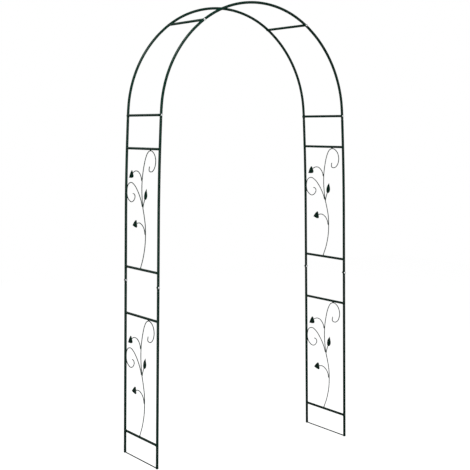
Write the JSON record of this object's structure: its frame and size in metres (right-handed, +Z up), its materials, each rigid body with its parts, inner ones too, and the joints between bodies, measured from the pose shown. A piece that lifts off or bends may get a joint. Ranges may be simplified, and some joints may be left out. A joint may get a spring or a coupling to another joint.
{
  "type": "metal trellis arch",
  "caption": "Free-standing garden arch of bent green steel tube, with ladder-like side panels holding scrolled wire vines with leaves, bolted at its tube joints.",
  "frame": {"origin": "on the ground, midway between the four feet", "axes": "+X to the right across the passage, +Y from the front face to the rear face, +Z up"},
  "size_m": [1.218, 0.3892, 2.4],
  "materials": {
    "green_paint": "dark green powder coat, semi-gloss",
    "zinc_plate": "bright zinc plate"
  },
  "bodies": {
    "root": {"left_lower_front_upright": "green_paint", "left_upper_front_upright": "green_paint", "left_front_arch_tube": "green_paint", "left_lower_rear_upright": "green_paint", "left_upper_rear_upright": "green_paint", "left_rear_arch_tube": "green_paint", "right_lower_front_upright": "green_paint", "right_upper_front_upright": "green_paint", "right_front_arch_tube": "green_paint", "right_lower_rear_upright": "green_paint", "right_upper_rear_upright": "green_paint", "right_rear_arch_tube": "green_paint", "front_crown_tube": "green_paint", "rear_crown_tube": "green_paint", "left_ground_bar": "green_paint", "left_lower_bottom_rung": "green_paint", "left_lower_top_rung": "green_paint", "left_upper_bottom_rung": "green_paint", "left_upper_top_rung": "green_paint", "left_spring_crossbar": "green_paint", "left_crown_crossbar": "green_paint", "right_ground_bar": "green_paint", "right_lower_bottom_rung": "green_paint", "right_lower_top_rung": "green_paint", "right_upper_bottom_rung": "green_paint", "right_upper_top_rung": "green_paint", "right_spring_crossbar": "green_paint", "right_crown_crossbar": "green_paint", "left_front_mid_bolt": "zinc_plate", "left_front_mid_nut": "zinc_plate", "left_front_spring_screw": "zinc_plate", "left_front_crown_screw": "zinc_plate", "left_rear_mid_bolt": "zinc_plate", "left_rear_mid_nut": "zinc_plate", "left_rear_spring_screw": "zinc_plate", "left_rear_crown_screw": "zinc_plate", "right_front_mid_bolt": "zinc_plate", "right_front_mid_nut": "zinc_plate", "right_front_spring_screw": "zinc_plate", "right_front_crown_screw": "zinc_plate", "right_rear_mid_bolt": "zinc_plate", "right_rear_mid_nut": "zinc_plate", "right_rear_spring_screw": "zinc_plate", "right_rear_crown_screw": "zinc_plate", "left_lower_vine_stem_and_bud": "green_paint", "left_lower_vine_curl": "green_paint", "left_lower_vine_upper_leaf": "green_paint", "left_lower_vine_lower_leaf": "green_paint", "left_upper_vine_stem_and_bud": "green_paint", "left_upper_vine_curl": "green_paint", "left_upper_vine_upper_leaf": "green_paint", "left_upper_vine_lower_leaf": "green_paint", "right_lower_vine_stem_and_bud": "green_paint", "right_lower_vine_curl": "green_paint", "right_lower_vine_upper_leaf": "green_paint", "right_lower_vine_lower_leaf": "green_paint", "right_upper_vine_stem_and_bud": "green_paint", "right_upper_vine_curl": "green_paint", "right_upper_vine_upper_leaf": "green_paint", "right_upper_vine_lower_leaf": "green_paint"}
  },
  "joints": []
}
